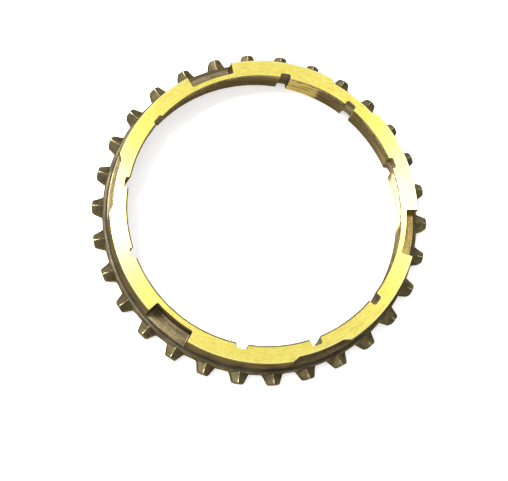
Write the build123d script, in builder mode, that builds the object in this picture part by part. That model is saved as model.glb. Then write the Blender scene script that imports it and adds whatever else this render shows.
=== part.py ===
from build123d import *
from math import asin, cos, degrees, pi, radians, sin, sqrt, tan
import os

os.makedirs("parts", exist_ok=True)

# A synchronizer ring, one piece of brass. It lies with its gear side down on Z = 0.
# The origin is the centre of the gear side, and key slot 1 lies on +X.

# Lapped face on the hub side
face_radius = 40.0
face_land = 4.3
ring_height = 12.5
face_edge_break = 0.25

# Friction cone, which widens towards the gear
cone_half_angle = 7.5
cone_face_chamfer = 0.35
cone_foot_chamfer = 1.2

# Outer wall with its forging draft, and the ledge on top of the flange at its foot
wall_draft = 5.0
flange_height = 4.2
flange_rim_chamfer = 0.4
ledge_width = 1.12
ledge_fillet = 0.5

# Clutch teeth with roof-shaped ends towards the hub
tooth_count = 30
tooth_turn = 0.7
tooth_depth = 2.75
tooth_root_width = 5.2
tooth_tip_width = 3.0
tooth_root_fillet = 0.6
tooth_tip_rounding = 0.6
tooth_foot_chamfer = 0.4
ridge_drop = 0.2
ridge_flat = 0.3
roof_half_angle = 57.0

# Key slots in the outer edge of the face, with a low sill left above the ledge
slot_count = 3
slot_width = 12.1
slot_depth = 2.9
slot_sill = 1.0
slot_corner_radius = 0.3

# Shallow reliefs halfway between the slots, with ramped ends
relief_depth = 1.0
relief_sill = 1.8
relief_floor_angle = 17.6
relief_ramp_angle = 2.7

# Oil grooves along the cone, left out behind the key slots
groove_places = 12
groove_turn = -0.9
groove_width = 2.8
groove_depth = 1.55
groove_corner_radius = 0.5

# How far a cutter runs past the metal that it cuts, and a tooth into its flange
overrun = 1.0
tooth_embed = 1.0


def polar(radius, angle):
    """The point at this radius and angle, in degrees from +X."""
    return (radius * cos(radians(angle)), radius * sin(radians(angle)))


def turned(angles):
    """One location about the ring's axis for each angle."""
    return [Location((0, 0, 0), (0, 0, angle)) for angle in angles]


# Turned body: half section in the XZ plane, then a full revolution
cone_slope = tan(radians(cone_half_angle))
face_bore_radius = face_radius - face_land
cone_top_radius = face_bore_radius - cone_face_chamfer
cone_top_height = ring_height - cone_face_chamfer
cone_foot_radius = cone_top_radius + (cone_top_height - cone_foot_chamfer) * cone_slope
wall_slope = tan(radians(wall_draft))
wall_foot_radius = face_radius + (ring_height - flange_height) * wall_slope
tooth_root_radius = wall_foot_radius + ledge_width
tooth_tip_radius = tooth_root_radius + tooth_depth

with BuildPart() as ring:
    with BuildSketch(Plane.XZ) as section:
        with BuildLine():
            Polyline(
                (cone_foot_radius + cone_foot_chamfer, 0),
                (tooth_root_radius, 0),
                (tooth_root_radius, flange_height - flange_rim_chamfer),
                (tooth_root_radius - flange_rim_chamfer, flange_height),
                (wall_foot_radius, flange_height),
                (face_radius + face_edge_break * wall_slope, ring_height - face_edge_break),
                (face_radius - face_edge_break, ring_height),
                (face_bore_radius, ring_height),
                (cone_top_radius, cone_top_height),
                (cone_foot_radius, cone_foot_chamfer),
                close=True,
            )
        make_face()
        ledge_corner = section.vertices().sort_by_distance((wall_foot_radius, 0, flange_height))[0]
        fillet(ledge_corner, radius=ledge_fillet)
    revolve(axis=Axis.Z)

# One clutch tooth on +X: its plan, then the gable seen along it from the tip
ridge_height = flange_height - ridge_drop
tooth_pitch = 2 * pi * tooth_root_radius / tooth_count
root_corner_x = sqrt(tooth_root_radius**2 - (tooth_root_width / 2) ** 2)
tip_corner_x = sqrt(tooth_tip_radius**2 - (tooth_tip_width / 2) ** 2)
flank_slope = (tooth_root_width - tooth_tip_width) / 2 / (tip_corner_x - root_corner_x)
plan_end_x = tooth_tip_radius + overrun
plan_end_width = tooth_tip_width - 2 * flank_slope * (plan_end_x - tip_corner_x)
gable_foot_width = ridge_flat + 2 * ridge_height * tan(radians(roof_half_angle))

with BuildPart() as tooth:
    with BuildSketch() as tooth_plan:
        with BuildLine():
            Polyline(
                (root_corner_x - tooth_embed, -tooth_root_width / 2),
                (root_corner_x, -tooth_root_width / 2),
                (plan_end_x, -plan_end_width / 2),
                (plan_end_x, plan_end_width / 2),
                (root_corner_x, tooth_root_width / 2),
                (root_corner_x - tooth_embed, tooth_root_width / 2),
                close=True,
            )
        make_face()
        Circle(tooth_tip_radius, mode=Mode.INTERSECT)
        Circle(tooth_root_radius)
        roots = tooth_plan.vertices().sort_by(SortBy.DISTANCE)[:2]
        fillet(roots, radius=tooth_root_fillet)
        tips = tooth_plan.vertices().sort_by(SortBy.DISTANCE)[-2:]
        fillet(tips, radius=tooth_tip_rounding)
        with Locations((tooth_root_radius - tooth_embed, 0)):
            Rectangle(plan_end_x, tooth_pitch, align=(Align.MIN, Align.CENTER), mode=Mode.INTERSECT)
    extrude(amount=ridge_height)
    with BuildSketch(Plane.YZ):
        with BuildLine():
            Polyline(
                (-gable_foot_width / 2, 0),
                (gable_foot_width / 2, 0),
                (ridge_flat / 2, ridge_height),
                (-ridge_flat / 2, ridge_height),
                close=True,
            )
        make_face()
    extrude(amount=plan_end_x, mode=Mode.INTERSECT)

# The blank's outer corner on the gear side, taken off every tooth
with BuildPart() as foot_corner:
    with BuildSketch(Plane.XZ):
        with BuildLine():
            Polyline(
                (tooth_tip_radius - tooth_foot_chamfer, 0),
                (tooth_tip_radius + overrun, 0),
                (tooth_tip_radius + overrun, tooth_foot_chamfer + overrun),
                close=True,
            )
        make_face()
    revolve(axis=Axis.Z)

# Key slot: a sector of the outer edge with a floor that follows the ring
slot_half_angle = degrees(asin(slot_width / 2 / face_radius))
slot_floor_radius = face_radius - slot_depth
slot_floor_height = flange_height + slot_sill
cut_radius = wall_foot_radius + overrun

with BuildPart() as key_slot:
    with BuildSketch(Plane.XY.offset(slot_floor_height)) as slot_plan:
        with BuildLine():
            CenterArc((0, 0), slot_floor_radius, -slot_half_angle, 2 * slot_half_angle)
            Line(polar(slot_floor_radius, slot_half_angle), polar(cut_radius, slot_half_angle))
            CenterArc((0, 0), cut_radius, -slot_half_angle, 2 * slot_half_angle)
            Line(polar(cut_radius, -slot_half_angle), polar(slot_floor_radius, -slot_half_angle))
        make_face()
        fillet(slot_plan.vertices().group_by(Axis.X)[0], radius=slot_corner_radius)
    extrude(amount=ring_height - slot_floor_height + overrun)
    with BuildSketch(Plane.XY.offset(ring_height)):
        add(slot_plan.sketch_local)
        offset(amount=face_edge_break, kind=Kind.INTERSECTION)
    extrude(amount=-face_edge_break, taper=45)

# Relief: a shallow arc whose two ends run out in straight ramps
relief_radius = face_radius - relief_depth
relief_floor_height = flange_height + relief_sill
ramp_foot = polar(relief_radius, relief_floor_angle / 2)
ramp_top = polar(face_radius, relief_floor_angle / 2 + relief_ramp_angle)
ramp_reach = (cut_radius + overrun - relief_radius) / relief_depth
ramp_end = tuple(foot + (top - foot) * ramp_reach for foot, top in zip(ramp_foot, ramp_top))

with BuildPart() as relief:
    with BuildSketch(Plane.XY.offset(relief_floor_height)) as relief_plan:
        with BuildLine():
            CenterArc((0, 0), relief_radius, -relief_floor_angle / 2, relief_floor_angle)
            Polyline(
                ramp_foot,
                ramp_end,
                (ramp_end[0] + overrun, ramp_end[1]),
                (ramp_end[0] + overrun, -ramp_end[1]),
                (ramp_end[0], -ramp_end[1]),
                (ramp_foot[0], -ramp_foot[1]),
            )
        make_face()
    extrude(amount=ring_height - relief_floor_height + overrun)
    with BuildSketch(Plane.XY.offset(ring_height)):
        add(relief_plan.sketch_local)
        offset(amount=face_edge_break, kind=Kind.INTERSECTION)
    extrude(amount=-face_edge_break, taper=45)

# Oil groove: a flat-bottomed slot that runs down along the cone at an even depth
cone_tilt = radians(cone_half_angle)
groove_lead = cone_face_chamfer + overrun
groove_plane = Plane(
    origin=(cone_top_radius - groove_lead * cone_slope, 0, cone_top_height + groove_lead),
    x_dir=(cos(cone_tilt), 0, sin(cone_tilt)),
    z_dir=(sin(cone_tilt), 0, -cos(cone_tilt)),
)
groove_length = (ring_height + 3 * overrun) / cos(cone_tilt)

with BuildPart() as oil_groove:
    with BuildSketch(groove_plane) as groove_section:
        with Locations((groove_depth, 0)):
            Rectangle(groove_depth + overrun, groove_width, align=(Align.MAX, Align.CENTER))
        fillet(groove_section.vertices().group_by(Axis.X)[-1], radius=groove_corner_radius)
    extrude(amount=groove_length)

# Everything cut into the turned body, then the teeth
slot_angles = [360 / slot_count * k for k in range(slot_count)]
relief_angles = [angle + 180 / slot_count for angle in slot_angles]
groove_step = 360 / groove_places
grooves_per_slot = groove_places // slot_count
groove_angles = [groove_step * k + groove_turn for k in range(groove_places) if k % grooves_per_slot]
tooth_angles = [360 / tooth_count * (k + 0.5) + tooth_turn for k in range(tooth_count)]

with ring:
    with Locations(turned(slot_angles)):
        add(key_slot.part, mode=Mode.SUBTRACT)
    with Locations(turned(relief_angles)):
        add(relief.part, mode=Mode.SUBTRACT)
    with Locations(turned(groove_angles)):
        add(oil_groove.part, mode=Mode.SUBTRACT)
    with Locations(turned(tooth_angles)):
        add(tooth.part)
    add(foot_corner.part, mode=Mode.SUBTRACT)

ring.part.label = "synchronizer_ring"
export_step(ring.part, "parts/synchronizer_ring.step")
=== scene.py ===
from math import asin, atan2, cos, degrees, pi, radians, sin, sqrt, tan

import bmesh
import bpy
import numpy as np
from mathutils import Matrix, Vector, noise


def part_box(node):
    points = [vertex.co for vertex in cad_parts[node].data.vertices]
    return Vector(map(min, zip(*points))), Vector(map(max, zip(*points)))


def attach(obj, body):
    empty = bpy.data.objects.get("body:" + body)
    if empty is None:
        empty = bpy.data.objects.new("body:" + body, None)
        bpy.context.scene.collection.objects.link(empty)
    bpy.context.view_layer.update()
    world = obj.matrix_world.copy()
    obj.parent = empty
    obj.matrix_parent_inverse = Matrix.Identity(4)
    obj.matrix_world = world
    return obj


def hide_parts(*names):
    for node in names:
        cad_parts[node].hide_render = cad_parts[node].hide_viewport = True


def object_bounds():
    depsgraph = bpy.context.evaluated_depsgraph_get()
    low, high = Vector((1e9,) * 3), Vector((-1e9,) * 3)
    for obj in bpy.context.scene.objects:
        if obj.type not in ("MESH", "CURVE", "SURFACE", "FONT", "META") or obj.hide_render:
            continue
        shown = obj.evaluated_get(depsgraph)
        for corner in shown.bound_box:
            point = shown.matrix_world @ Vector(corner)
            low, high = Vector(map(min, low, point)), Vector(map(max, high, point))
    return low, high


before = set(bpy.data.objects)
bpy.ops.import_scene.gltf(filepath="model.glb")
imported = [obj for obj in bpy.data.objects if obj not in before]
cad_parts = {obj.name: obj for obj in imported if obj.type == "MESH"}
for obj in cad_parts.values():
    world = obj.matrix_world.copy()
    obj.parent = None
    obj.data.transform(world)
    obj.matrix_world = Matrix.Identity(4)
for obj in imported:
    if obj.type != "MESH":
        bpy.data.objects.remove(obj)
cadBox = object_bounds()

# Lengths are in millimetres until the mesh is made
mm = 0.001
quarterTurn = pi / 2
thirdTurns = [radians(120 * k) for k in range(3)]
ringLow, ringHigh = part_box("synchronizer_ring")
ringHeight = (ringHigh.z - ringLow.z) / mm
print("ring is", round(ringHeight, 3), "mm high")

# The ring's finishes, and the number of each one's material
finishNames = ["lappedFace", "forgedWall", "milledFloor", "threadedCone", "forgedTeeth"]
onFace, onWall, onFloor, onCone, onTeeth = range(len(finishNames))

# The mesh is gathered here, band by band
gathered = {"points": [], "wearAndPaintedLight": [], "forged": [], "faces": [], "finish": []}


class Band:
    # rows of points round the ring, each with its wear and painted light and shade, its share of the
    # forging's unevenness, and the finish of the faces between it and the next row
    def __init__(self, name):
        self.name = name
        self.points, self.wearAndPaintedLight, self.forged, self.finish = [], [], [], []

    def put(self, plan, z, wearAndPaintedLight, forged, finish):
        columns = plan.shape[1]
        self.points.append(np.stack([*plan, np.broadcast_to(z, columns)], axis=1))
        self.wearAndPaintedLight.append(np.broadcast_to(wearAndPaintedLight, columns))
        self.forged.append(np.broadcast_to(forged, columns))
        self.finish.append(np.broadcast_to(finish, columns))

    def repeat(self, angles):
        # the same columns again, turned by each of the angles
        x, y, z = np.moveaxis(np.array(self.points), 2, 0)
        copies = [np.stack([*turned((x, y), angle), z], axis=2) for angle in angles]
        self.points = np.concatenate(copies, axis=1)
        self.wearAndPaintedLight = np.tile(self.wearAndPaintedLight, (1, len(angles)))
        self.forged = np.tile(self.forged, (1, len(angles)))
        self.finish = np.tile(self.finish, (1, len(angles)))

    def gather(self, closed=True):
        points = np.array(self.points)
        rowCount, columnCount = points.shape[:2]
        start = sum(len(block) for block in gathered["points"])
        gathered["points"].append(points.reshape(-1, 3))
        gathered["wearAndPaintedLight"].append(np.array(self.wearAndPaintedLight).reshape(-1))
        gathered["forged"].append(np.array(self.forged).reshape(-1))
        across = columnCount if closed else columnCount - 1
        column = np.arange(across)
        following = (column + 1) % columnCount
        for row in range(rowCount - 1):
            near = start + row * columnCount
            far = near + columnCount
            corners = [near + column, far + column, far + following, near + following]
            gathered["faces"].append(np.stack(corners, axis=1))
        gathered["finish"].append(np.array(self.finish)[:-1, :across].reshape(-1))
        print(self.name + ":", rowCount, "rows of", columnCount)


def lerp(start, end, share):
    return start + (end - start) * share


def smooth(value):
    eased = np.clip(value, 0, 1)
    return eased * eased * (3 - 2 * eased)


# A plan is an outline seen from above, with its x in one row and its y in the other
def arc(radius, angles, centre=(0.0, 0.0)):
    return np.array([centre[0] + radius * np.cos(angles), centre[1] + radius * np.sin(angles)])


def turned(plan, angle):
    x, y = plan
    return np.array([x * np.cos(angle) - y * np.sin(angle), x * np.sin(angle) + y * np.cos(angle)])


def outwardNormals(plan, closed=True):
    # of length one, for a plan that runs anticlockwise
    if closed:
        along = np.roll(plan, -1, axis=1) - np.roll(plan, 1, axis=1)
    else:
        along = np.gradient(plan, axis=1)
    length = np.hypot(*along)
    return np.array([along[1] / length, -along[0] / length])


def runAlong(plan):
    # the length from the plan's first point to each of its points
    return np.concatenate([[0], np.cumsum(np.hypot(*np.diff(plan, axis=1)))])


# Outer side: the face's edge, the wall, the slots, the reliefs and the ledge's inner part
wallSide = {
    "faceRadius": 40.0,
    "draft": 5.0,
    "ledgeHeight": 4.2,
    "ledgeFillet": 0.5,
    "ledgeEnd": 41.27,
    "slotWidth": 12.1,
    "slotRadius": 37.1,
    "slotFloor": 5.2,
    "slotCorner": 0.3,
    "outerCorner": 0.3,
    "reliefRadius": 39.0,
    "reliefFloor": 6.0,
    "reliefMiddle": 60.0,
    "reliefHalf": 8.8,
    "reliefOpen": 11.5,
    "edgeRound": 0.2,
    "edgeSupport": 0.08,
    "rimWidth": 0.3,
    "footRound": 0.16,
    "sillRound": 0.18,
    "wallRows": 11,
    "floorRows": 5,
    "wallRowBias": 1.15,
    "rowSpread": 0.35,
    "openDepth": 0.6,
    # wear with painted highlight and edge shade, and the painted shade that counts against it
    "edgeWearAndPaintedLight": 0.3,
    "slotEdgeLoss": 0.2,
    "belowEdgeWearAndShade": 0.28,
    "slotShade": 0.15,
    "footShade": 0.45,
    "ledgeShade": 0.5,
    # how much of the forging's unevenness milling took off the cut walls, their feet and the floors
    "millingLoss": (0.75, 0.8, 0.7),
}
slotHalf = asin(wallSide["slotWidth"] / 2 / wallSide["faceRadius"])
draftSlope = tan(radians(wallSide["draft"]))

# Columns of half a pattern, from the middle of a slot to the middle of a relief
slotArcShares = np.linspace(0, 1, 15)
cornerShares = np.linspace(0, 1, 5)[1:]
sideShares = np.linspace(0, 1, 8)[1:-1]
landShares = np.concatenate([[0.0, 0.006], np.linspace(0.02, 0.98, 46), [0.994, 1.0]])
rampShares = np.array([0.06, 0.2, 0.4, 0.6, 0.8, 0.94])
reliefShares = np.concatenate([[0.0, 0.02], np.linspace(0.08, 1, 13)])

halfShares = [slotArcShares, cornerShares, sideShares, cornerShares, landShares, rampShares, reliefShares]
halfCounts = [len(shares) for shares in halfShares]
halfEnds = np.cumsum(halfCounts)
halfPieces = [slice(end - count, end) for end, count in zip(halfEnds, halfCounts)]
slotArc, innerCorner, sideWall, outerCorner, land, ramp, relief = halfPieces


def halfPlan(wallRadius):
    # plan of half a pattern, where the outer wall has this radius at each column
    side = wallSide
    plan = np.zeros((2, halfEnds[-1]))

    innerRound = side["slotCorner"]
    innerRadius = side["slotRadius"] + innerRound
    innerAngle = slotHalf - asin(innerRound / innerRadius)
    plan[:, slotArc] = arc(side["slotRadius"], innerAngle * slotArcShares)
    turnAngles = lerp(innerAngle + pi, slotHalf + quarterTurn, cornerShares)
    plan[:, innerCorner] = arc(innerRound, turnAngles, arc(innerRadius, innerAngle))

    outerRound = side["outerCorner"]
    outerRadius = wallRadius - outerRound
    outerAngle = slotHalf + np.arcsin(outerRound / outerRadius)
    sideStart = innerRadius * cos(slotHalf - innerAngle)
    sideEnd = outerRadius * np.cos(outerAngle - slotHalf)
    plan[:, sideWall] = arc(lerp(sideStart, sideEnd[sideWall], sideShares), slotHalf)

    turnShares = np.linspace(0, 1, len(cornerShares) + 1)[:-1]
    turnAngles = lerp(slotHalf - quarterTurn, outerAngle[outerCorner], turnShares)
    centres = arc(outerRadius[outerCorner], outerAngle[outerCorner])
    plan[:, outerCorner] = arc(outerRound, turnAngles, centres)

    # the relief's end is a straight ramp from its floor out to the wall
    footAngle = radians(side["reliefMiddle"] - side["reliefHalf"])
    foot = arc(side["reliefRadius"], footAngle)
    lead = arc(side["faceRadius"], radians(side["reliefMiddle"] - side["reliefOpen"])) - foot
    squared = (lead**2).sum()
    halfLinear = (foot * lead).sum()
    beyond = side["reliefRadius"] ** 2 - wallRadius**2
    reach = (-halfLinear + np.sqrt(halfLinear**2 - squared * beyond)) / squared
    end = foot[:, None] + lead[:, None] * reach

    landAngles = lerp(outerAngle[land], np.arctan2(end[1], end[0])[land], landShares)
    plan[:, land] = arc(wallRadius[land], landAngles)
    plan[:, ramp] = lerp(end[:, ramp], foot[:, None], rampShares)
    reliefAngles = lerp(footAngle, radians(side["reliefMiddle"]), reliefShares)
    plan[:, relief] = arc(side["reliefRadius"], reliefAngles)
    return plan


def wholePlan(plan):
    # the half pattern, its mirror image, and both again at each third of a turn
    mirrored = turned((plan[0], -plan[1]), 2 * radians(wallSide["reliefMiddle"]))
    third = np.concatenate([plan, mirrored[:, -2:0:-1]], axis=1)
    return np.concatenate([turned(third, angle) for angle in thirdTurns], axis=1)


def wholeValues(values):
    third = np.concatenate([values, values[-2:0:-1]])
    return np.tile(third, len(thirdTurns))


def buildWallSide():
    side = wallSide
    band = Band("wall side")
    wallAt = lambda z: side["faceRadius"] + (ringHeight - z) * draftSlope
    column = np.arange(halfEnds[-1])
    inSlot = (column < land.start) * 1.0
    isCut = np.maximum(inSlot, column >= ramp.start)
    wallLoss, footLoss, floorLoss = side["millingLoss"]

    # height of the floor by column: on the land the rows only pass from one to the other
    landRun = np.linspace(0, 1, land.stop - land.start)
    floorHeight = np.where(inSlot > 0, side["slotFloor"], side["reliefFloor"])
    floorHeight[land] = lerp(side["slotFloor"], side["reliefFloor"], smooth(landRun * 4))
    spread = np.zeros(len(column))
    spread[land] = side["rowSpread"] * smooth(landRun * 5) * smooth((1 - landRun) * 12)

    # the angle at which each column meets the floor's outer edge, and how open the floor is there
    floorPlan = halfPlan(wallAt(floorHeight))
    run = runAlong(floorPlan)
    angle = np.arctan2(floorPlan[1], floorPlan[0])
    edgeAngle = angle.copy()
    edgeAngle[: land.start] = angle[land.start] * run[: land.start] / run[land.start]
    last = land.stop - 1
    reliefMiddle = radians(side["reliefMiddle"])
    reliefRun = (run[ramp.start:] - run[last]) / (run[-1] - run[last])
    edgeAngle[ramp.start:] = lerp(angle[last], reliefMiddle, reliefRun)
    thirdAngles = np.concatenate([edgeAngle, 2 * reliefMiddle - edgeAngle[-2:0:-1]])
    edgeAngles = np.concatenate([thirdAngles + turn for turn in thirdTurns])
    openShare = np.clip((wallAt(floorHeight) - np.hypot(*floorPlan)) / side["openDepth"], 0, 1)

    slots, cut, opened = wholeValues(inSlot), wholeValues(isCut), wholeValues(openShare)
    floors, spreads = wholeValues(floorHeight), wholeValues(spread)
    cutFinish = np.where(cut > 0, onFloor, onWall)

    # face's edge, with a bright rim of worn brass and painted highlight that narrows to nothing at the slots'
    # outer corners
    facePlan = halfPlan(np.full(len(column), side["faceRadius"]))
    plan = wholePlan(facePlan)
    normals = outwardNormals(plan)
    rounding = side["edgeRound"]
    inward = rounding + side["edgeSupport"]
    faceRun = runAlong(facePlan)
    fromCorner = np.maximum(faceRun[outerCorner.start] - faceRun, faceRun - faceRun[outerCorner.stop - 1])
    rim = inward + wholeValues(np.clip(0.5 * fromCorner, 0.01, side["rimWidth"]))
    band.put(plan - normals * rim, ringHeight, 0.0, 0.0, onFace)
    # the edge's level paints the pale rim on the face and a painted shade line down the rounding
    faceEdgeWearAndLight = side["edgeWearAndPaintedLight"] - side["slotEdgeLoss"] * slots
    band.put(plan - normals * inward, ringHeight, faceEdgeWearAndLight, 0.0, onFace)
    for step in range(4):
        lean = quarterTurn * (1 - step / 3)
        z = ringHeight - rounding * (1 - sin(lean))
        band.put(plan - normals * (rounding * (1 - cos(lean))), z, faceEdgeWearAndLight, 0.15, onWall)

    # wall down to the floors
    footRound = side["footRound"]
    wallEnd = floorHeight + spread + footRound * openShare
    for share in [0.015] + [step / side["wallRows"] for step in range(1, side["wallRows"] + 1)]:
        z = lerp(ringHeight - rounding, wallEnd, share ** side["wallRowBias"])
        # painted shade down the slots' walls
        slotShade = side["slotShade"] * slots * min(1, 4 * share)
        wearAndPaintedLight = side["belowEdgeWearAndShade"] * (share < 0.05) * (1 - cut) - slotShade
        forged = (1 - wallLoss * cut) * min(1, 3 * share)
        band.put(wholePlan(halfPlan(wallAt(z))), wholeValues(z), wearAndPaintedLight, forged, cutFinish)

    # round foot of the slots' and reliefs' walls, then their floors, with painted shade in the foot that
    # fades out across the floor
    plan = wholePlan(halfPlan(wallAt(floorHeight + spread)))
    normals = outwardNormals(plan)
    for step in (1, 2, 3):
        lean = quarterTurn * step / 3
        outward = footRound * (1 - cos(lean)) * opened
        z = floors + spreads + footRound * opened * (1 - sin(lean))
        band.put(plan + normals * outward, z, -side["footShade"] * cut, 1 - footLoss * cut, cutFinish)
    foot = plan + normals * footRound * opened
    sill = side["sillRound"] * opened
    for step in range(1, side["floorRows"] + 1):
        share = step / side["floorRows"]
        z = floors + spreads * (1 - 2 * share)
        edge = arc(wallAt(z) - sill, edgeAngles)
        wearAndPaintedLight = lerp(-side["footShade"], 0.0, min(1, share * 1.6)) * cut
        band.put(lerp(np.where(cut > 0, foot, edge), edge, share), z, wearAndPaintedLight, 1 - floorLoss * cut, cutFinish)
    for step in (1, 2, 3):
        lean = quarterTurn * step / 3
        drop = sill * (1 - cos(lean)) + 0.05 * step * (1 - opened) * (spreads > 0)
        z = floors - spreads - drop
        radius = wallAt(floors - spreads) - sill + sill * sin(lean) + drop * draftSlope
        band.put(arc(radius, edgeAngles), z, 0.0, 0.5, onWall)

    # lower wall, the fillet and the ledge's inner part
    sillEnd = z
    fillet = side["ledgeFillet"]
    filletHeight = side["ledgeHeight"] + fillet
    for step in (1, 2, 3):
        z = lerp(sillEnd, filletHeight, step / 3)
        band.put(arc(wallAt(z), edgeAngles), z, 0.0, 1.0, onWall)
    # painted shade along the fillet between the wall and the ledge
    filletCentre = wallAt(filletHeight) + fillet
    for step in range(1, 6):
        lean = quarterTurn * step / 5
        z = filletHeight - fillet * sin(lean)
        forged = 0.5 if step == 5 else 1.0
        band.put(arc(filletCentre - fillet * cos(lean), edgeAngles), z, -side["ledgeShade"], forged, onWall)
    band.put(arc(side["ledgeEnd"], edgeAngles), side["ledgeHeight"], 0.0, 0.0, onWall)
    band.gather()


buildWallSide()

# Clutch teeth, from the ledge's rim down to the gear side
teeth = {
    "count": 30,
    "turn": 0.7,
    "rootRadius": 41.846,
    "tipRadius": 44.596,
    "rootWidth": 5.2,
    "tipWidth": 3.0,
    "rootFillet": 0.6,
    "tipRounding": 0.6,
    "ridgeHeight": 4.0,
    "ridgeHalf": 0.15,
    "roofAngle": 57.0,
    "rimChamfer": 0.4,
    "rimStart": 41.38,
    "edgeRound": 0.34,
    "footChamfer": 0.4,
    "tipPlaces": (0, 0.07, 0.16, 0.28, 0.45, 0.68),
    # drop below the ledge, distance inwards, and wear, which on the rim's edge also paints a dark shade line
    "rimRows": ((0.02, 0.015, 0.18), (0.1, 0.0, 0.15), (0.34, 0.0, 0.08), (0.44, 0.0, 0.0), (0.56, 0.0, 0.0)),
    # height over the gear side, distance inwards, and wear
    "footRows": ((0.1, 0.0, 0.3), (0.03, 0.03, 0.5), (0.0, 0.1, 0.5), (0.0, 0.22, 0.0)),
    "crestWidth": 0.12,
    # the crest's level is wear and a painted highlight along the ridge
    "crestWear": 0.8,
    "edgeWearAndPaintedLight": 0.2,
    "lastEdgeWear": 0.1,
    # in the gaps the rows start this far below the roof's foot, and sink by a step each
    "gapDrop": 0.02,
    "gapStep": 0.05,
}


def halfTooth():
    # plan of half a tooth with its axis on +X, from the ridge to the middle of the gap
    t = teeth
    rootX = sqrt(t["rootRadius"] ** 2 - (t["rootWidth"] / 2) ** 2)
    tipX = sqrt(t["tipRadius"] ** 2 - (t["tipWidth"] / 2) ** 2)
    lean = atan2((t["rootWidth"] - t["tipWidth"]) / 2, tipX - rootX)
    alongX, alongY = cos(lean), -sin(lean)
    outX, outY = sin(lean), cos(lean)

    def centreOn(offset, radius):
        # a point at this offset from the flank and this radius from the ring's axis
        baseX, baseY = rootX + outX * offset, t["rootWidth"] / 2 + outY * offset
        halfLinear = baseX * alongX + baseY * alongY
        step = -halfLinear + sqrt(halfLinear**2 - (baseX**2 + baseY**2 - radius**2))
        return baseX + alongX * step, baseY + alongY * step

    tipRound, rootRound = t["tipRounding"], t["rootFillet"]
    tipCentre = centreOn(-tipRound, t["tipRadius"] - tipRound)
    rootCentre = centreOn(rootRound, t["rootRadius"] + rootRound)
    flankAngle = atan2(outY, outX)
    tipEnd = atan2(tipCentre[1], tipCentre[0])
    rootEnd = atan2(rootCentre[1], rootCentre[0])

    places = np.array(t["tipPlaces"])
    crown = np.array([np.sqrt(t["tipRadius"] ** 2 - places * places), places])
    tip = arc(tipRound, lerp(tipEnd, flankAngle, np.linspace(0, 1, 7)), tipCentre)
    flankEnd = np.array([[rootCentre[0] - outX * rootRound], [rootCentre[1] - outY * rootRound]])
    flank = lerp(tip[:, -1:], flankEnd, np.array([0.25, 0.5, 0.75]))
    root = arc(rootRound, lerp(flankAngle - pi, rootEnd - pi, np.linspace(0, 1, 5)), rootCentre)
    gap = arc(t["rootRadius"], lerp(rootEnd, pi / t["count"], np.array([1, 2, 3]) / 3))
    return np.concatenate([crown, tip, flank, root, gap], axis=1)


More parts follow.
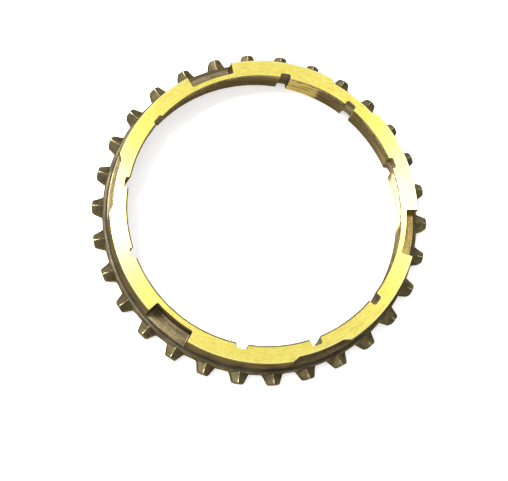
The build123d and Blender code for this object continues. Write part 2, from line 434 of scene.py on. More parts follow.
def buildTeeth():
    t = teeth
    band = Band("teeth")
    halfX, halfY = halfTooth()
    # one pitch, from a gap's middle to just before the next
    x = np.concatenate([halfX[::-1], halfX[1:-1]])
    y = np.concatenate([-halfY[::-1], halfY[1:-1]])
    plan = np.array([x, y])
    # the next points beyond the two gaps' middles, for the normals there
    before = (x[1], -2 * abs(y[0]) + abs(y[1]))
    after = (x[0], abs(y[0]))
    normals = outwardNormals(np.column_stack([before, plan, after]), closed=False)[:, 1:-1]
    angle = np.arctan2(y, x)

    tooth = np.hypot(x, y) > t["rootRadius"] + 0.004
    roofSlope = 1 / tan(radians(t["roofAngle"]))
    ridgeHalf = t["ridgeHalf"]
    roof = lambda w: t["ridgeHeight"] - roofSlope * (np.sqrt(w * w + ridgeHalf**2) - ridgeHalf)
    roofHeight = roof(np.minimum(np.abs(y), np.abs(y[tooth]).max()))
    depth = np.where(tooth, x - np.sqrt(t["rootRadius"] ** 2 - y**2), 0.0)
    rounding = np.minimum(t["edgeRound"], 0.5 * depth)
    ledge = wallSide["ledgeHeight"]
    chamfer = t["rimChamfer"]
    rimRadius = lambda z: t["rootRadius"] - np.clip(z - (ledge - chamfer), 0, chamfer)

    band.put(arc(t["rimStart"], angle), ledge, 0.0, 0.0, onWall)
    # rim's chamfer, which the roofs cut into
    for drop, inward, wearAndPaintedLight in t["rimRows"]:
        z = np.maximum(ledge - drop, roofHeight)
        radius = rimRadius(z) - inward
        rim = np.where(tooth, (np.sqrt(radius**2 - y**2), y), arc(radius, angle))
        band.put(rim, z, wearAndPaintedLight, 0.3, onTeeth)
    # down the root cylinder to the roof
    rimEnd = z
    gapStart = roofHeight - t["gapDrop"]
    for share in (0.5, 1.0):
        z = lerp(rimEnd, np.where(tooth, roofHeight, gapStart), share)
        start = np.where(tooth, (np.sqrt(rimRadius(z) ** 2 - y**2), y), plan)
        band.put(start, z, 0.0, 0.5, onTeeth)
    # along the roof to the rounded edge
    # worn metal along the ridge, with a painted highlight on it
    crestWearAndSheen = np.exp(-((y / t["crestWidth"]) ** 2)) * tooth
    inner = plan - normals * rounding
    for step in (1, 2, 3, 4):
        share = step / 4
        place = lerp(start, inner, share)
        z = np.where(tooth, roof(place[1]), gapStart - t["gapStep"] * step)
        band.put(place, z, crestWearAndSheen * share, np.where(tooth, 1.0 - 0.5 * crestWearAndSheen, 0.8), onTeeth)
    for step in (1, 2, 3):
        lean = quarterTurn * step / 3
        place = plan - normals * (rounding * (1 - sin(lean)))
        roofEdge = roof(place[1]) - rounding * (1 - cos(lean))
        z = np.where(tooth, roofEdge, gapStart - t["gapStep"] * (4 + step))
        # the rounded edges' level paints them dark as shade, and the crest stays bright
        wearAndPaintedLight = np.maximum(t["edgeWearAndPaintedLight"], t["crestWear"] * crestWearAndSheen) if step < 3 else t["lastEdgeWear"]
        band.put(place, z, np.where(tooth, wearAndPaintedLight, 0.0), 0.6, onTeeth)
    # flanks, tip and gap down to the gear side
    edgeEnd = z
    for share in (0.25, 0.5, 0.75, 1.0):
        forged = 1.0 if share < 1 else 0.4
        band.put(plan, lerp(edgeEnd, t["footChamfer"], share), 0.0, forged, onTeeth)
    for height, inward, wearAndPaintedLight in t["footRows"]:
        place = plan - normals * inward
        radius = np.hypot(*place)
        limit = np.minimum(radius, t["tipRadius"] - t["footChamfer"] + height - inward)
        band.put(place * limit / radius, height, wearAndPaintedLight, 0.0, onTeeth)
    band.repeat([radians(360 / t["count"] * (k + 0.5) + t["turn"]) for k in range(t["count"])])
    band.gather()


buildTeeth()

# Bore: the friction cone with its fine thread, its two chamfers and the oil grooves
cone = {
    "faceRadius": 35.7,
    "halfAngle": 7.5,
    "faceChamfer": 0.35,
    "footChamfer": 1.2,
    "faceSupport": 0.14,
    "brokenEdge": 0.06,
    "footEdge": 0.15,
    # distance outwards on the gear side, and wear
    "footRows": ((0.05, 0.4), (0.16, 0.0)),
    "threadPitch": 0.62,
    "threadDepth": 0.13,
    "threadFade": 0.7,
    # where in a pitch the crest starts and ends, and the root starts and ends
    "threadPhases": (0.0, 0.42, 0.6, 0.82),
    "crestWear": 0.45,
    # painted shade on the bore's top chamfer
    "chamferShade": 2.0,
    "footDirt": 0.5,
    "landStep": 1.25,
    # evenly spaced, but none behind a slot
    "groovePlaces": 12,
    "grooveTurn": -0.9,
    "grooveWidth": 2.8,
    "grooveCorner": 0.5,
    "grooveMargin": 0.35,
    "oilDepth": 0.5,
    "grooveShadeDepth": 0.3,
    # one for each groove, in turn
    "grooveDepths": (1.04, 1.29, 1.29, 1.3, 2.0, 2.0, 1.34, 1.73, 1.49),
    "grooveMouths": (
        (0.2, 0.2), (0.25, 0.25), (0.3, 0.3), (0.6, 0.2), (0.6, 0.2),
        (0.25, 0.25), (0.3, 0.3), (0.3, 0.3), (0.2, 0.2),
    ),
    # painted shade in each groove, darkest in those that lie in shade
    "grooveShade": (0.3, 0.2, 0.2, 0.8, 0.3, 0.0, 0.1, 0.1, 0.6),
}


def grooveSide(depth, mouth):
    # place sideways, depth, and the normal into the metal, from the mouth to the flat bottom
    half, corner = cone["grooveWidth"] / 2, cone["grooveCorner"]
    rounds = (0.0, pi / 6, pi / 3, pi / 2)
    oneSide = [(half + mouth * (1 - sin(a)), mouth * (1 - cos(a)), sin(a), cos(a)) for a in rounds]
    oneSide.append((half, (mouth + depth - corner) / 2, 1.0, 0.0))
    oneSide += [(half - corner * (1 - cos(a)), depth - corner * (1 - sin(a)), cos(a), sin(a)) for a in rounds]
    oneSide.append(((half - corner) / 2, depth, 0.0, 1.0))
    return oneSide


def boreColumns(topRadius):
    # angle, place sideways, depth, the normal into the metal, 1 on the land, and painted shade
    c = cone
    columns = []

    def addLand(start, end):
        number = max(2, round((end - start) / c["landStep"]))
        for k in range(number + 1):
            columns.append((lerp(start, end, k / number), 0.0, 0.0, 0.0, 1.0, 1.0, 0.0))

    previous = 0.0
    perSlot = c["groovePlaces"] // len(thirdTurns)
    angles = [360 / c["groovePlaces"] * k + c["grooveTurn"] for k in range(c["groovePlaces"]) if k % perSlot]
    for angle, depth, mouths, grime in zip(angles, c["grooveDepths"], c["grooveMouths"], c["grooveShade"]):
        widths = [c["grooveWidth"] / 2 + mouth for mouth in mouths]
        reaches = [degrees(asin(width / topRadius)) + c["grooveMargin"] for width in widths]
        addLand(previous, angle - reaches[0])
        near, far = grooveSide(depth, mouths[0]), grooveSide(depth, mouths[1])
        mirrored = [(-place, deep, -across, into) for place, deep, across, into in near]
        for column in mirrored + [(0.0, depth, 0.0, 1.0)] + far[::-1]:
            columns.append((angle, *column, 0.0, grime * min(1, column[1] / c["grooveShadeDepth"])))
        previous = angle + reaches[1]
    addLand(previous, 360.0)
    return np.array(columns).T


def buildCone():
    c = cone
    band = Band("cone")
    slope = tan(radians(c["halfAngle"]))
    lean = cos(radians(c["halfAngle"]))
    topHeight = ringHeight - c["faceChamfer"]
    topRadius = c["faceRadius"] - c["faceChamfer"]
    coneAt = lambda z: topRadius + (topHeight - z) * slope
    footHeight = c["footChamfer"]
    footRadius = coneAt(footHeight)
    edge = c["brokenEdge"]

    base, sideways, deep, sideNormal, deepNormal, onLand, paintedGrooveShade = boreColumns(topRadius)
    turn = np.radians(base)
    inGroove = onLand < 0.5
    # oil by depth in the grooves, plus each groove's painted shade
    oiledAndShaded = np.clip(deep / c["oilDepth"], 0, 1) + paintedGrooveShade
    grooveOut = deep / lean
    trueAngle = (turn + np.arcsin(sideways / footRadius)) / (2 * pi)
    # heights where the groove's surface leaves the two chamfers
    topLimit = np.clip(topHeight + grooveOut / (1 + slope), topHeight, ringHeight - edge)
    footLimit = np.clip(footHeight - grooveOut / (1 - slope), c["footEdge"], footHeight)

    def borePlan(radius, across):
        return turned((np.sqrt(radius**2 - across**2), across), turn)

    def put(radius, z, wearAndPaintedLight):
        band.put(borePlan(radius, sideways), z, wearAndPaintedLight, 0.0, onCone)

    def putMouth(outward, landRadius, z, wearAndPaintedLight, finish):
        # the bore's outline at this height, moved outwards into the metal
        radius = np.maximum(coneAt(z) + (deep + outward * deepNormal) / lean, landRadius + outward)
        band.put(borePlan(radius, sideways + outward * sideNormal), z, wearAndPaintedLight, 0.0, finish)

    # top: the face's support loop, the broken edge and the chamfer
    chamferRadius = lambda z: topRadius + (z - topHeight)
    putMouth(c["faceSupport"], chamferRadius(ringHeight), ringHeight, 0.0, onFace)
    for outward, drop, wearAndPaintedLight in ((edge, 0.0, 0.0), (0.3 * edge, 0.3 * edge, 0.0), (0.0, edge, 0.1)):
        putMouth(outward, chamferRadius(ringHeight - drop), ringHeight - drop, wearAndPaintedLight, onCone)
    for share in (0.5, 1.0):
        z = lerp(ringHeight - edge, topLimit, share)
        # painted shade: the chamfer on the lands is painted near black
        wearAndPaintedLight = np.where(inGroove, -oiledAndShaded, -c["chamferShade"])
        put(np.maximum(coneAt(z) + grooveOut, chamferRadius(z)), z, wearAndPaintedLight)

    # thread: crest, crest's end, root, root's end, on a helix that the two ends cut off
    pitch, phases, fadeLength = c["threadPitch"], c["threadPhases"], c["threadFade"]
    turns = int((topHeight - footHeight) / pitch) + 3
    for k in range(turns * len(phases)):
        phase = k // len(phases) + phases[k % len(phases)]
        onCrest = k % len(phases) < 2
        z = np.clip(topHeight + pitch - (phase + trueAngle) * pitch, footLimit, topLimit)
        fade = np.minimum(smooth((topHeight - z) / fadeLength), smooth((z - footHeight) / fadeLength))
        cut = c["threadDepth"] * fade * onLand * (not onCrest)
        # dirt has gathered along the cone's foot
        dirty = smooth((footHeight + c["footDirt"] - z) / c["footDirt"])
        landWear = lerp(c["crestWear"] * onCrest, -1.0, dirty)
        put(coneAt(z) + grooveOut + cut, z, np.where(inGroove, -oiledAndShaded, landWear))

    # foot chamfer and the gear side
    for share in (0.5, 0.93):
        z = lerp(footLimit, 0.0, share)
        put(np.maximum(coneAt(z) + grooveOut, footRadius + footHeight - z), z, 0.0)
    for outward, wearAndPaintedLight in c["footRows"]:
        putMouth(outward, footRadius + footHeight, 0.0, wearAndPaintedLight, onTeeth)
    band.gather(closed=False)


buildCone()

# The bands become one welded mesh, and its three flats are filled between them
shaping = {
    "weld": 0.002,
    "sharpAngle": 36,
    "irregularity": 0.07,
    # share and scale of the forging's large and small lumps
    "largeLumps": (0.65, 0.35),
    "smallLumps": (0.35, 1.1),
    "smallShift": (7, 3, 1),
}


def fillFlats(bm):
    for level, finish in ((ringHeight, onFace), (wallSide["ledgeHeight"], onWall), (0.0, onTeeth)):
        isOn = lambda edge: all(abs(v.co.z - level * mm) < 1e-6 for v in edge.verts)
        rim = [edge for edge in bm.edges if edge.is_boundary and isOn(edge)]
        made = bmesh.ops.triangle_fill(bm, use_beauty=True, edges=rim, normal=Vector((0, 0, 1)))
        filled = [piece for piece in made["geom"] if isinstance(piece, bmesh.types.BMFace)]
        for face in filled:
            face.material_index = finish
        print("flat at", round(level, 2), "mm:", len(rim), "rim edges,", len(filled), "faces")


def roughenForging(bm):
    # slight unevenness of the forging, kept inside the CAD model's box
    forgedLayer = bm.verts.layers.float["forged"]
    largeShare, largeScale = shaping["largeLumps"]
    smallShare, smallScale = shaping["smallLumps"]
    shift = Vector(shaping["smallShift"])
    bm.normal_update()
    moves = []
    for v in bm.verts:
        amount = v[forgedLayer]
        if amount > 0:
            place = v.co / mm
            large = largeShare * noise.noise(place * largeScale)
            small = smallShare * noise.noise(place * smallScale + shift)
            moves.append((v, v.normal * ((large + small) * amount * shaping["irregularity"] * mm)))
    for v, move in moves:
        v.co += move
    low, high = cadBox
    for v in bm.verts:
        v.co = Vector([min(max(v.co[i], low[i]), high[i]) for i in range(3)])


def buildRing():
    mesh = bpy.data.meshes.new("synchronizerRing")
    points = np.concatenate(gathered["points"])
    mesh.from_pydata((points * mm).tolist(), [], np.concatenate(gathered["faces"]).tolist())
    mesh.polygons.foreach_set("material_index", np.concatenate(gathered["finish"]).astype(np.int32))
    for name in ("wearAndPaintedLight", "forged"):
        layer = mesh.attributes.new(name, "FLOAT", "POINT")
        layer.data.foreach_set("value", np.concatenate(gathered[name]).astype(np.float32))

    bm = bmesh.new()
    bm.from_mesh(mesh)
    bmesh.ops.remove_doubles(bm, verts=bm.verts, dist=shaping["weld"] * mm)
    bmesh.ops.dissolve_degenerate(bm, edges=bm.edges, dist=shaping["weld"] * mm / 2)
    fillFlats(bm)
    bmesh.ops.recalc_face_normals(bm, faces=bm.faces)
    print("open edges:", sum(not edge.is_manifold for edge in bm.edges))
    roughenForging(bm)
    for face in bm.faces:
        face.smooth = True
    bm.to_mesh(mesh)
    bm.free()
    mesh.set_sharp_from_angle(angle=radians(shaping["sharpAngle"]))
    mesh.update()
    ring = bpy.data.objects.new("synchronizerRing", mesh)
    bpy.context.scene.collection.objects.link(ring)
    triangles = sum(len(face.vertices) - 2 for face in mesh.polygons)
    print("ring mesh:", len(mesh.vertices), "vertices,", triangles, "triangles")
    return ring


ring = buildRing()


# Materials
class Nodes:
    # short hand for adding nodes and links to one tree
    def __init__(self, tree):
        self.tree = tree

    def add(self, kind, settings=None, **values):
        node = self.tree.nodes.new(kind if kind.startswith("Node") else "ShaderNode" + kind)
        for name, value in (settings or {}).items():
            setattr(node, name, value)
        for name, value in values.items():
            self.feed(node, name.replace("_", " "), value)
        return node

    def feed(self, node, name, value):
        # a name such as in0 is the input's number, and a colour may leave out its fourth part
        socket = node.inputs[int(name[2:])] if name[2:].isdigit() else node.inputs[name]
        if isinstance(value, bpy.types.NodeSocket):
            self.tree.links.new(value, socket)
        elif socket.type == "RGBA" and len(value) == 3:
            socket.default_value = (*value, 1)
        else:
            socket.default_value = value

    def use(self, which, **values):
        node = self.tree.nodes.new("ShaderNodeGroup")
        node.node_tree = groups[which]
        for name, value in values.items():
            self.feed(node, name, value)
        return node.outputs

    def math(self, operation, first, second, clamp=False):
        settings = {"operation": operation, "use_clamp": clamp}
        return self.add("Math", settings, in0=first, in1=second).outputs[0]

    def vector(self, operation, first, second=(0, 0, 0)):
        return self.add("VectorMath", {"operation": operation}, in0=first, in1=second).outputs

    def total(self, *parts):
        # each part is a value, or a value and its weight
        terms = [self.math("MULTIPLY", *part) if isinstance(part, tuple) else part for part in parts]
        result = terms[0]
        for term in terms[1:]:
            result = self.math("ADD", result, term)
        return result

    def mix(self, share, first, second):
        return self.add("Mix", {"data_type": "RGBA"}, in0=share, in6=first, in7=second).outputs[2]

    def noise(self, vector, scale, detail, roughness=0.5, distortion=0.0):
        values = {"Scale": scale, "Detail": detail, "Roughness": roughness, "Distortion": distortion}
        return self.add("TexNoise", Vector=vector, **values).outputs[0]

    def spread(self, value, low, high):
        # eases from 0 at low to 1 at high
        eased = {"interpolation_type": "SMOOTHSTEP"}
        return self.add("MapRange", eased, Value=value, From_Min=low, From_Max=high).outputs[0]

    def remap(self, value, low, high, first, second):
        # goes evenly from first at low to second at high
        ends = {"From_Min": low, "From_Max": high, "To_Min": first, "To_Max": second}
        return self.add("MapRange", Value=value, **ends).outputs[0]


def startGroup(name, **inputs):
    # an input with a number is a value, and one without is a vector
    group = bpy.data.node_groups.new(name, "ShaderNodeTree")
    for socketName, value in inputs.items():
        kind = "NodeSocketVector" if value is None else "NodeSocketFloat"
        socket = group.interface.new_socket(socketName, in_out="INPUT", socket_type=kind)
        if value is not None:
            socket.default_value = value
    nodes = Nodes(group)
    return nodes, nodes.add("NodeGroupInput").outputs


def endGroup(nodes, **outputs):
    for name, value in outputs.items():
        kind = "NodeSocketVector" if value.type == "VECTOR" else "NodeSocketFloat"
        nodes.tree.interface.new_socket(name, in_out="OUTPUT", socket_type=kind)
    nodes.add("NodeGroupOutput", **outputs)
    return nodes.tree


def makeRingCoordinates():
    # places in millimetres, and the same wrapped round the ring so that grain runs with the turning
    nodes, given = startGroup("ringCoordinates", Along=4.0)
    place = nodes.add("TexCoord").outputs["Object"]
    inMm = nodes.add("VectorMath", {"operation": "SCALE"}, in0=place, Scale=1 / mm).outputs[0]
    parts = nodes.add("SeparateXYZ", Vector=inMm).outputs
    flat = nodes.add("CombineXYZ", X=parts[0], Y=parts[1]).outputs[0]
    unit = nodes.vector("NORMALIZE", flat)[0]
    unitParts = nodes.add("SeparateXYZ", Vector=unit).outputs
    # height counts too, so that the grain changes down the walls as well
    heightShare = 0.83
    across = nodes.total(nodes.vector("LENGTH", flat)["Value"], (parts[2], heightShare))
    alongX, alongY = (nodes.math("MULTIPLY", unitParts[i], given["Along"]) for i in range(2))
    wrapped = nodes.add("CombineXYZ", X=alongX, Y=alongY, Z=across).outputs[0]
    return endGroup(nodes, Place=inMm, Round=wrapped, Direction=unit, Height=parts[2])


def makeWearAndShade():
    # bright metal on corners and crests, with a painted highlight on the teeth's crests, broken up so that no
    # edge is evenly worn low values on edges paint a shade line; values below 0 are oil in the grooves and
    # painted shade in the slots and the ledge's fillet, and below -1 painted near-black shade
    nodes, given = startGroup("edgeWearAndPaintedLight", Place=None, Reach=0.5, Breaks=0.5)
    wearAndShading = nodes.add("Attribute", {"attribute_name": "wearAndPaintedLight"}).outputs["Fac"]
    patches = nodes.noise(given["Place"], 0.45, detail=4.0, roughness=0.65)
    chips = nodes.noise(given["Place"], 2.6, detail=2.0)
    loss = nodes.math("MULTIPLY", nodes.total(patches, chips), given["Breaks"])
    kept = nodes.math("SUBTRACT", nodes.total(wearAndShading, given["Reach"]), loss)
    mask = nodes.math("MULTIPLY", nodes.spread(kept, 0.35, 0.8), nodes.spread(wearAndShading, 0.02, 0.35))
    oil = nodes.spread(nodes.math("SUBTRACT", nodes.math("MULTIPLY", patches, 0.5), wearAndShading), 0.3, 1.0)
    edge, grime = nodes.spread(wearAndShading, 0.08, 0.28), nodes.spread(wearAndShading, -1.0, -2.0)
    return endGroup(nodes, Mask=mask, Edge=edge, Oil=oil, Grime=grime)


def makeGrain():
    # fine lines that follow the coordinates they are given, strong and faint ones together
    nodes, given = startGroup("grain", Round=None, Fineness=6.0)
    lines = nodes.noise(given["Round"], given["Fineness"], detail=4.0, roughness=0.7)
    marks = nodes.noise(given["Round"], nodes.math("MULTIPLY", given["Fineness"], 0.37), detail=2.0)
    return endGroup(nodes, Lines=lines, Scratches=nodes.spread(marks, 0.6, 0.72))


def makeTarnish():
    # cloudy stains, with much smaller dark specks
    nodes, given = startGroup("tarnish", Place=None, Size=3.0)
    scale = nodes.math("DIVIDE", 1.0, given["Size"])
    clouds = nodes.noise(given["Place"], scale, detail=5.0, roughness=0.6, distortion=0.4)
    specks = nodes.noise(given["Place"], nodes.math("MULTIPLY", scale, 6.0), detail=3.0, roughness=0.7)
    return endGroup(nodes, Clouds=nodes.spread(clouds, 0.35, 0.65), Specks=nodes.spread(specks, 0.6, 0.75))


def makeWornAndSheenSpot():
    # a stretch round one direction that is painted bright, with a ragged end: rubbed metal in one place, a
    # painted highlight in the others
    values = {"Far": 0.98, "Near": 0.99, "Lines": 0.5, "Tone": 0.5}
    nodes, given = startGroup("wornAndSheenSpot", Direction=None, Towards=None, **values)
    facing = nodes.vector("DOT_PRODUCT", given["Direction"], given["Towards"])["Value"]
    ragged = nodes.total(facing, (nodes.math("SUBTRACT", given["Lines"], 0.5), 0.02))
    inside = nodes.spread(ragged, given["Far"], given["Near"])
    strength = nodes.math("ADD", 0.2, nodes.math("MULTIPLY", given["Tone"], 0.9), clamp=True)
    return endGroup(nodes, Mask=nodes.math("MULTIPLY", inside, strength))


groups = {
    "coordinates": makeRingCoordinates(),
    "wornAndSheenSpot": makeWornAndSheenSpot(),
    "wearAndPaintedLight": makeWearAndShade(),
    "grain": makeGrain(),
    "tarnish": makeTarnish(),
}


def startMaterial(name):
    material = bpy.data.materials.new(name)
    material.use_nodes = True
    tree = material.node_tree
    tree.nodes.clear()
    nodes = Nodes(tree)
    output = nodes.add("OutputMaterial")
    shader = nodes.add("BsdfPrincipled")
    tree.links.new(shader.outputs[0], output.inputs["Surface"])
    return material, nodes, shader


def startFinish(name, look):
    # the coordinates, grain and stains that each finish of the ring is mixed from
    nodes, shader = startMaterial(name)[1:]
    around = nodes.use("coordinates", Along=look["along"])
    grain = nodes.use("grain", Round=around["Round"], Fineness=look["fineness"])
    stain = nodes.use("tarnish", Place=around[look["stains"]], Size=look["stainSize"])
    return nodes, shader, around, grain, stain


def endFinish(nodes, shader, look, colour, rough, height):
    nodes.feed(shader, "Base Color", colour)
    nodes.feed(shader, "Roughness", rough)
    nodes.feed(shader, "Specular Tint", look["grazing"])
    if look["turned"]:
        # turning marks run round the ring and draw its highlights out across them
        nodes.feed(shader, "Anisotropic", look["turned"])
        nodes.feed(shader, "Anisotropic Rotation", 0.25)
        tangent = nodes.add("Tangent", {"direction_type": "RADIAL", "axis": "Z"})
        nodes.feed(shader, "Tangent", tangent.outputs[0])
    bump = nodes.add("Bump", Height=height, Strength=look["bump"], Distance=look["bumpDepth"])
    nodes.feed(shader, "Normal", bump.outputs[0])


# In every finish "roughness" is the value at dark tones, then the one at light tones
faceFinish = {
    "bright": (0.97, 0.86, 0.215),
    "deep": (0.76, 0.625, 0.11),
    "mark": (0.55, 0.45, 0.1),
    "rim": (1.0, 0.94, 0.42),
    "grazing": (1.0, 1.0, 1.0),
    "roughness": (0.4, 0.52),
    "turned": 0.95,
    "along": 8.0,
    "fineness": 3.0,
    "stains": "Place",
    "stainSize": 4.0,
    "bump": 0.14,
    "bumpDepth": 0.00005,
}


def makeLappedFace():
    look = faceFinish
    nodes, shader, around, grain, stain = startFinish("lappedFace", look)
    speckle = nodes.noise(around["Place"], 3.0, detail=2.0, roughness=0.6)
    tone = nodes.total((grain["Lines"], 0.8), (speckle, 0.4), (stain["Clouds"], 0.06))
    colour = nodes.mix(nodes.spread(tone, 0.42, 0.78), look["deep"], look["bright"])
    wearAndShading = nodes.add("Attribute", {"attribute_name": "wearAndPaintedLight"}).outputs["Fac"]
    # a pale rim along the face's edge: worn brass with a painted highlight
    colour = nodes.mix(nodes.spread(wearAndShading, 0.05, 0.3), colour, look["rim"])
    colour = nodes.mix(nodes.math("MULTIPLY", grain["Scratches"], 0.3), colour, look["mark"])
    rough = nodes.remap(grain["Lines"], 0.3, 0.7, *look["roughness"])
    height = nodes.total(grain["Lines"], (grain["Scratches"], -0.4), speckle)
    nodes.feed(shader, "Metallic", 1.0)
    endFinish(nodes, shader, look, colour, rough, height)


forgedFinish = {
    "light": (0.12, 0.097, 0.06),
    "dark": (0.066, 0.053, 0.036),
    # colour of rounded edges, a painted shade: a dark gold line under the face's edge
    "rim": (0.17, 0.13, 0.03),
    "bright": (0.58, 0.51, 0.26),
    "speck": (0.03, 0.024, 0.016),
    "grazing": (0.38, 0.33, 0.23),
    "roughness": (0.56, 0.42),
    "lowDarkening": 0.3,
    "lowHeights": (4.3, 6.5),
    "wearReach": 0.45,
    "wearBreaks": 0.5,
    "turned": 0.4,
    "along": 10.0,
    "fineness": 1.6,
    "stains": "Round",
    "stainSize": 2.2,
    "bump": 0.5,
    "bumpDepth": 0.00012,
}
teethFinish = dict(
    forgedFinish,
    light=(0.132, 0.107, 0.051),
    dark=(0.074, 0.061, 0.034),
    # the teeth's rounded edges are painted darker than their faces, as shade
    rim=(0.06, 0.052, 0.028),
    bright=(0.42, 0.36, 0.19),
    grazing=(0.37, 0.32, 0.2),
    lowDarkening=0.0,
    wearReach=0.5,
    wearBreaks=0.45,
    turned=0.0,
    stains="Place",
)


def makeForged(name, look):
    nodes, shader, around, grain, stain = startFinish(name, look)
    wearAndShading = nodes.use("wearAndPaintedLight", Place=around["Place"], Reach=look["wearReach"], Breaks=look["wearBreaks"])
    tone = nodes.total((stain["Clouds"], 0.65), (grain["Lines"], 0.5))
    colour = nodes.mix(nodes.spread(tone, 0.15, 0.9), look["dark"], look["light"])
    colour = nodes.mix(nodes.math("MULTIPLY", stain["Specks"], 0.45), colour, look["speck"])
    # the wall is painted darker just over the ledge
    low = nodes.remap(around["Height"], *look["lowHeights"], look["lowDarkening"], 0.0)
    colour = nodes.mix(low, colour, look["speck"])
    # painted shade along the ledge's fillet
    colour = nodes.mix(nodes.math("MULTIPLY", wearAndShading["Oil"], 0.4), colour, look["speck"])
    # painted shade on the rounded edges
    colour = nodes.mix(wearAndShading["Edge"], colour, look["rim"])
    # worn metal, with a painted highlight on the teeth's crests
    colour = nodes.mix(wearAndShading["Mask"], colour, look["bright"])
    rough = nodes.total(nodes.remap(tone, 0.2, 0.9, *look["roughness"]), (wearAndShading["Mask"], -0.15))
    height = nodes.total(nodes.noise(around["Place"], 3.2, detail=4.0, roughness=0.6), (grain["Lines"], 0.5))
    nodes.feed(shader, "Metallic", 1.0)
    endFinish(nodes, shader, look, colour, rough, height)


def mixWornAndSheenSpots(nodes, look, around, grain, tone, colour):
    # each spot is the angle of its middle, half its width in degrees, and its colour
    for angle, half, spotColour in look["wornAndSheenSpots"]:
        towards = (cos(radians(angle)), sin(radians(angle)), 0.0)
        far, near = cos(radians(half * 1.15)), cos(radians(half * 0.8))
        values = {"Towards": towards, "Far": far, "Near": near, "Lines": grain["Lines"], "Tone": tone}
        spot = nodes.use("wornAndSheenSpot", Direction=around["Direction"], **values)
        colour = nodes.mix(spot["Mask"], colour, spotColour)
    return colour


floorFinish = {
    "light": (0.178, 0.14, 0.066),
    "dark": (0.072, 0.055, 0.033),
    # colour of the painted shade along the slots' walls and feet
    "deep": (0.07, 0.055, 0.034),
    "bright": (0.6, 0.5, 0.24),
    "grazing": (0.38, 0.33, 0.2),
    "roughness": (0.5, 0.3),
    # a painted highlight on the right-hand slot's floor, where the side light's reflection falls
    "wornAndSheenSpots": ((240.0, 11.0, (0.72, 0.52, 0.17)),),
    "sheenHeights": (8.0, 5.5),
    "wearReach": 0.4,
    "wearBreaks": 0.4,
    "turned": 0.0,
    "along": 5.0,
    "fineness": 3.0,
    "stains": "Round",
    "stainSize": 1.3,
    "bump": 0.4,
    "bumpDepth": 0.0001,
}


def makeMilledFloor():
    look = floorFinish
    nodes, shader, around, grain, stain = startFinish("milledFloor", look)
    wearAndShading = nodes.use("wearAndPaintedLight", Place=around["Place"], Reach=look["wearReach"], Breaks=look["wearBreaks"])
    flecks = nodes.noise(around["Place"], 2.4, detail=3.0, roughness=0.65)
    tone = nodes.total((stain["Clouds"], 0.2), (grain["Lines"], 0.7), (flecks, 0.6))
    colour = nodes.mix(nodes.spread(tone, 0.56, 0.98), look["dark"], look["light"])
    # painted highlight: one slot's floor, where the side light's reflection falls, is painted golden, and its
    # walls hardly
    low = nodes.spread(around["Height"], *look["sheenHeights"])
    sheenTone = nodes.math("MULTIPLY", nodes.spread(tone, 0.5, 1.0), low)
    colour = mixWornAndSheenSpots(nodes, look, around, grain, sheenTone, colour)
    # painted shade along the slots' inner walls and in the feet of the slots' and reliefs' walls
    colour = nodes.mix(nodes.math("MULTIPLY", wearAndShading["Oil"], 0.6), colour, look["deep"])
    colour = nodes.mix(wearAndShading["Mask"], colour, look["bright"])
    rough = nodes.remap(tone, 0.4, 1.1, *look["roughness"])
    nodes.feed(shader, "Metallic", 1.0)
    endFinish(nodes, shader, look, colour, rough, tone)


coneFinish = {
    "light": (0.16, 0.122, 0.052),
    "dark": (0.075, 0.056, 0.028),
    "gold": (0.5, 0.39, 0.13),
    "oil": (0.29, 0.222, 0.13),
    "grime": (0.045, 0.03, 0.016),
    "grazing": (0.36, 0.315, 0.165),
    "roughness": (0.55, 0.4),
    # a painted highlight where the side light's reflection falls at 254°, and thread rubbed bright at 321°
    "wornAndSheenSpots": ((254.0, 11.0, (0.58, 0.49, 0.24)), (321.0, 7.0, (0.5, 0.38, 0.12))),
    "wearReach": 0.3,
    "wearBreaks": 0.5,
    "turned": 0.9,
    "along": 7.0,
    "fineness": 4.0,
    "stains": "Round",
    "stainSize": 2.4,
    "bump": 0.3,
    "bumpDepth": 0.00006,
}


def makeThreadedCone():
    look = coneFinish
    nodes, shader, around, grain, stain = startFinish("threadedCone", look)
    wearAndShading = nodes.use("wearAndPaintedLight", Place=around["Place"], Reach=look["wearReach"], Breaks=look["wearBreaks"])
    tone = nodes.total((stain["Clouds"], 0.35), (grain["Lines"], 0.7))
    colour = nodes.mix(nodes.spread(tone, 0.2, 0.95), look["dark"], look["light"])
    # two bright stretches: a painted highlight where the side light's reflection falls, and thread that the
    # gear's cone has rubbed bright
    colour = mixWornAndSheenSpots(nodes, look, around, grain, nodes.spread(tone, 0.2, 0.65), colour)
    soaked = nodes.mix(nodes.spread(tone, 0.25, 0.75), look["dark"], look["oil"])
    colour = nodes.mix(wearAndShading["Oil"], colour, soaked)
    # painted near-black shade in the darker grooves and on the bore's top chamfer
    colour = nodes.mix(wearAndShading["Grime"], colour, look["grime"])
    colour = nodes.mix(wearAndShading["Mask"], colour, look["gold"])
    rough = nodes.remap(tone, 0.2, 0.9, *look["roughness"])
    # oil covers the metal
    nodes.feed(shader, "Metallic", nodes.total(1.0, (wearAndShading["Oil"], -0.95)))
    nodes.feed(shader, "Specular IOR Level", 0.0)
    endFinish(nodes, shader, look, colour, rough, grain["Lines"])


makeLappedFace()
makeForged("forgedWall", forgedFinish)
makeMilledFloor()
makeThreadedCone()
makeForged("forgedTeeth", teethFinish)
for name in finishNames:
    ring.data.materials.append(bpy.data.materials[name])
print("materials:", ", ".join(finishNames))

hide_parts("synchronizer_ring")
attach(ring, "root")

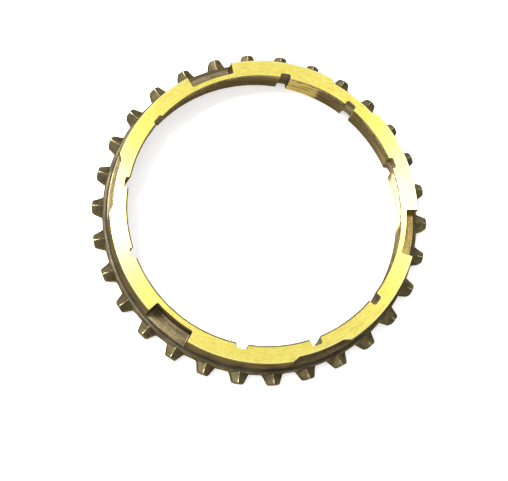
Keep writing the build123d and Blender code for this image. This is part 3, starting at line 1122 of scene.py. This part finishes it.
# Floor, light and camera
studio = {
    "floorSize": 6.0,
    "floorDrop": 0.00001,
    "floorTone": 0.93,
    "fibreTone": 0.92,
    "fibreScale": 900.0,
    "floorRoughness": 0.9,
    "floorShine": 0.1,
    "floorGlow": 0.42,
    "sideAzimuth": 47.0,
    "sideTilt": 27.0,
    "sideDistance": 0.7,
    "sideSize": 0.2,
    "sidePower": 8.5,
    "sideColour": (0.93, 0.96, 1.0),
    "skyLevel": 0.9,
    "skyRise": 0.35,
    "skyLean": 0.5,
    "skyAzimuth": 30.0,
}


def makeFloor():
    mesh = bpy.data.meshes.new("floor")
    half = studio["floorSize"] / 2
    z = ringLow.z - studio["floorDrop"]
    corners = [(-half, -half, z), (half, -half, z), (half, half, z), (-half, half, z)]
    mesh.from_pydata(corners, [], [(0, 1, 2, 3)])
    floor = bpy.data.objects.new("floor", mesh)
    bpy.context.scene.collection.objects.link(floor)
    material, nodes, shader = startMaterial("paperFloor")
    place = nodes.add("TexCoord").outputs["Object"]
    fibres = nodes.noise(place, studio["fibreScale"], detail=3.0, roughness=0.6)
    tones = [(studio[tone],) * 3 for tone in ("fibreTone", "floorTone")]
    nodes.feed(shader, "Base Color", nodes.mix(fibres, *tones))
    nodes.feed(shader, "Roughness", studio["floorRoughness"])
    nodes.feed(shader, "Specular IOR Level", studio["floorShine"])
    nodes.feed(shader, "Emission Color", (1, 1, 1))
    nodes.feed(shader, "Emission Strength", studio["floorGlow"])
    mesh.materials.append(material)


def makeSideLight():
    # the tilt is the angle from straight above, and the light looks at the ring's middle
    light = bpy.data.lights.new("sideLight", "AREA")
    light.shape = "DISK"
    light.size = studio["sideSize"]
    light.energy = studio["sidePower"]
    light.color = studio["sideColour"]
    lamp = bpy.data.objects.new("sideLight", light)
    bpy.context.scene.collection.objects.link(lamp)
    tilt, azimuth = radians(studio["sideTilt"]), radians(studio["sideAzimuth"])
    out, up = studio["sideDistance"] * sin(tilt), studio["sideDistance"] * cos(tilt)
    lamp.location = (out * cos(azimuth), out * sin(azimuth), up)
    lamp.rotation_euler = (-lamp.location).to_track_quat("-Z", "Y").to_euler()


def makeSky():
    # brighter on one side and upwards
    world = bpy.data.worlds.new("studioSky")
    world.use_nodes = True
    world.node_tree.nodes.clear()
    nodes = Nodes(world.node_tree)
    towards = radians(studio["skyAzimuth"])
    slant = (studio["skyLean"] * cos(towards), studio["skyLean"] * sin(towards), studio["skyRise"])
    uneven = nodes.vector("DOT_PRODUCT", nodes.add("TexCoord").outputs["Generated"], slant)["Value"]
    background = nodes.add("Background", Color=(1, 1, 1), Strength=nodes.total(uneven, studio["skyLevel"]))
    nodes.add("OutputWorld", Surface=background.outputs[0])
    bpy.context.scene.world = world


view = {
    "place": (-0.043547, 0.058428, 0.291892),
    "turn": (13.63658, -3.61494, -110.93028),
    "lens": 79.3293,
    "sensor": 36.0,
    "shift": (0.141732, -0.115157),
    "nearest": 0.01,
}


def makeCamera():
    data = bpy.data.cameras.new("camera")
    data.sensor_width = view["sensor"]
    data.lens = view["lens"]
    data.shift_x, data.shift_y = view["shift"]
    data.clip_start = view["nearest"]
    camera = bpy.data.objects.new("camera", data)
    bpy.context.scene.collection.objects.link(camera)
    camera.location = view["place"]
    camera.rotation_euler = [radians(a) for a in view["turn"]]
    bpy.context.scene.camera = camera


makeFloor()
makeSky()
makeCamera()
makeSideLight()
bpy.context.scene.view_settings.view_transform = "Standard"
print("floor, lights and camera are set")
